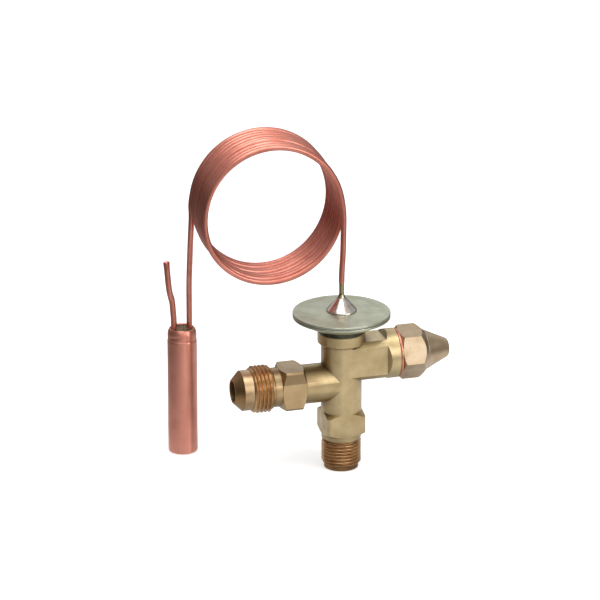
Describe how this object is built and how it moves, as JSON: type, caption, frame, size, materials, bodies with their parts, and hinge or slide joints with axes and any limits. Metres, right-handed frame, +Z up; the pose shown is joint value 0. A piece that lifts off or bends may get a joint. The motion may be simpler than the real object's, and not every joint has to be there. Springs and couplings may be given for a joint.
{
  "type": "thermostatic expansion valve",
  "caption": "Brass angle-pattern expansion valve with flare ends, a diaphragm head, an adjusting spindle under a seal cap, and a coiled copper capillary to a sensing bulb.",
  "frame": {"origin": "centre of the inlet flare's end face, at the foot of the column", "axes": "+Z up the column from the inlet towards the diaphragm head, +X along the adjusting arm towards the seal cap, so the outlet arm points along -X"},
  "size_m": [0.1084, 0.0595, 0.1385],
  "materials": {
    "forged_brass": "satin, tumbled and bright-dipped forging with turned ends",
    "turned_brass": "turned, satin",
    "nozzle_brass": "turned and brazed, pale from the flux and the heat",
    "washer_copper": "soft copper, annealed",
    "tube_copper": "drawn copper, lightly oxidised",
    "braze": "silver braze with burnt flux",
    "head_stainless": "pressed stainless steel, matt",
    "dark_steel": "turned steel, darkened by the welding heat",
    "bright_steel": "ground or drawn steel",
    "spring_steel": "drawn spring wire",
    "seal_rubber": "moulded, matt"
  },
  "bodies": {
    "valve": {"valve_body": "forged_brass", "gland_nut": "turned_brass", "spring_seat": "turned_brass", "push_rod_guide": "turned_brass", "orifice_cartridge": "turned_brass", "cartridge_plug": "turned_brass", "strainer_frame": "turned_brass", "head_nozzle": "nozzle_brass", "cap_washer": "washer_copper", "capillary_riser": "tube_copper", "capillary_coil": "tube_copper", "capillary_drop": "tube_copper", "bulb_shell": "tube_copper", "fill_tube": "tube_copper", "bulb_braze": "braze", "head_lower_cover": "head_stainless", "head_upper_cover": "head_stainless", "head_sleeve": "dark_steel", "seam_weld": "dark_steel", "diaphragm": "bright_steel", "spindle_washer": "bright_steel", "strainer_gauze": "bright_steel", "superheat_spring": "spring_steel", "cartridge_spring": "spring_steel", "cartridge_seal": "seal_rubber"},
    "spindle": {"adjusting_spindle": "bright_steel", "spindle_seal": "seal_rubber"},
    "slider": {"wedge_slider": "turned_brass"},
    "needle": {"thrust_pad": "bright_steel", "push_rod": "bright_steel", "valve_needle": "bright_steel"},
    "cap": {"seal_cap": "turned_brass"}
  },
  "joints": [
    {"name": "cap_pull", "type": "slide", "parent": "valve", "child": "cap", "axis": [1, 0, 0], "range_m": [0, 0.022]},
    {"name": "spindle_turn", "type": "hinge", "parent": "valve", "child": "spindle", "pos_m": [0.02, 0, 0.0461], "axis": [1, 0, 0], "range_deg": [0, 545]},
    {"name": "slider_slide", "type": "slide", "parent": "valve", "child": "slider", "axis": [1, 0, 0], "range_m": [0, 0.0015]},
    {"name": "needle_stroke", "type": "slide", "parent": "valve", "child": "needle", "axis": [0, 0, -1], "range_m": [0, 0.0006], "stiffness_N_per_m": 6000, "springref_m": -0.001, "deforming": ["superheat_spring", "cartridge_spring", "diaphragm"]}
  ],
  "couplings": [
    {"joint": "spindle_turn", "follows": "slider_slide", "rad_per_m": 6283.2}
  ]
}
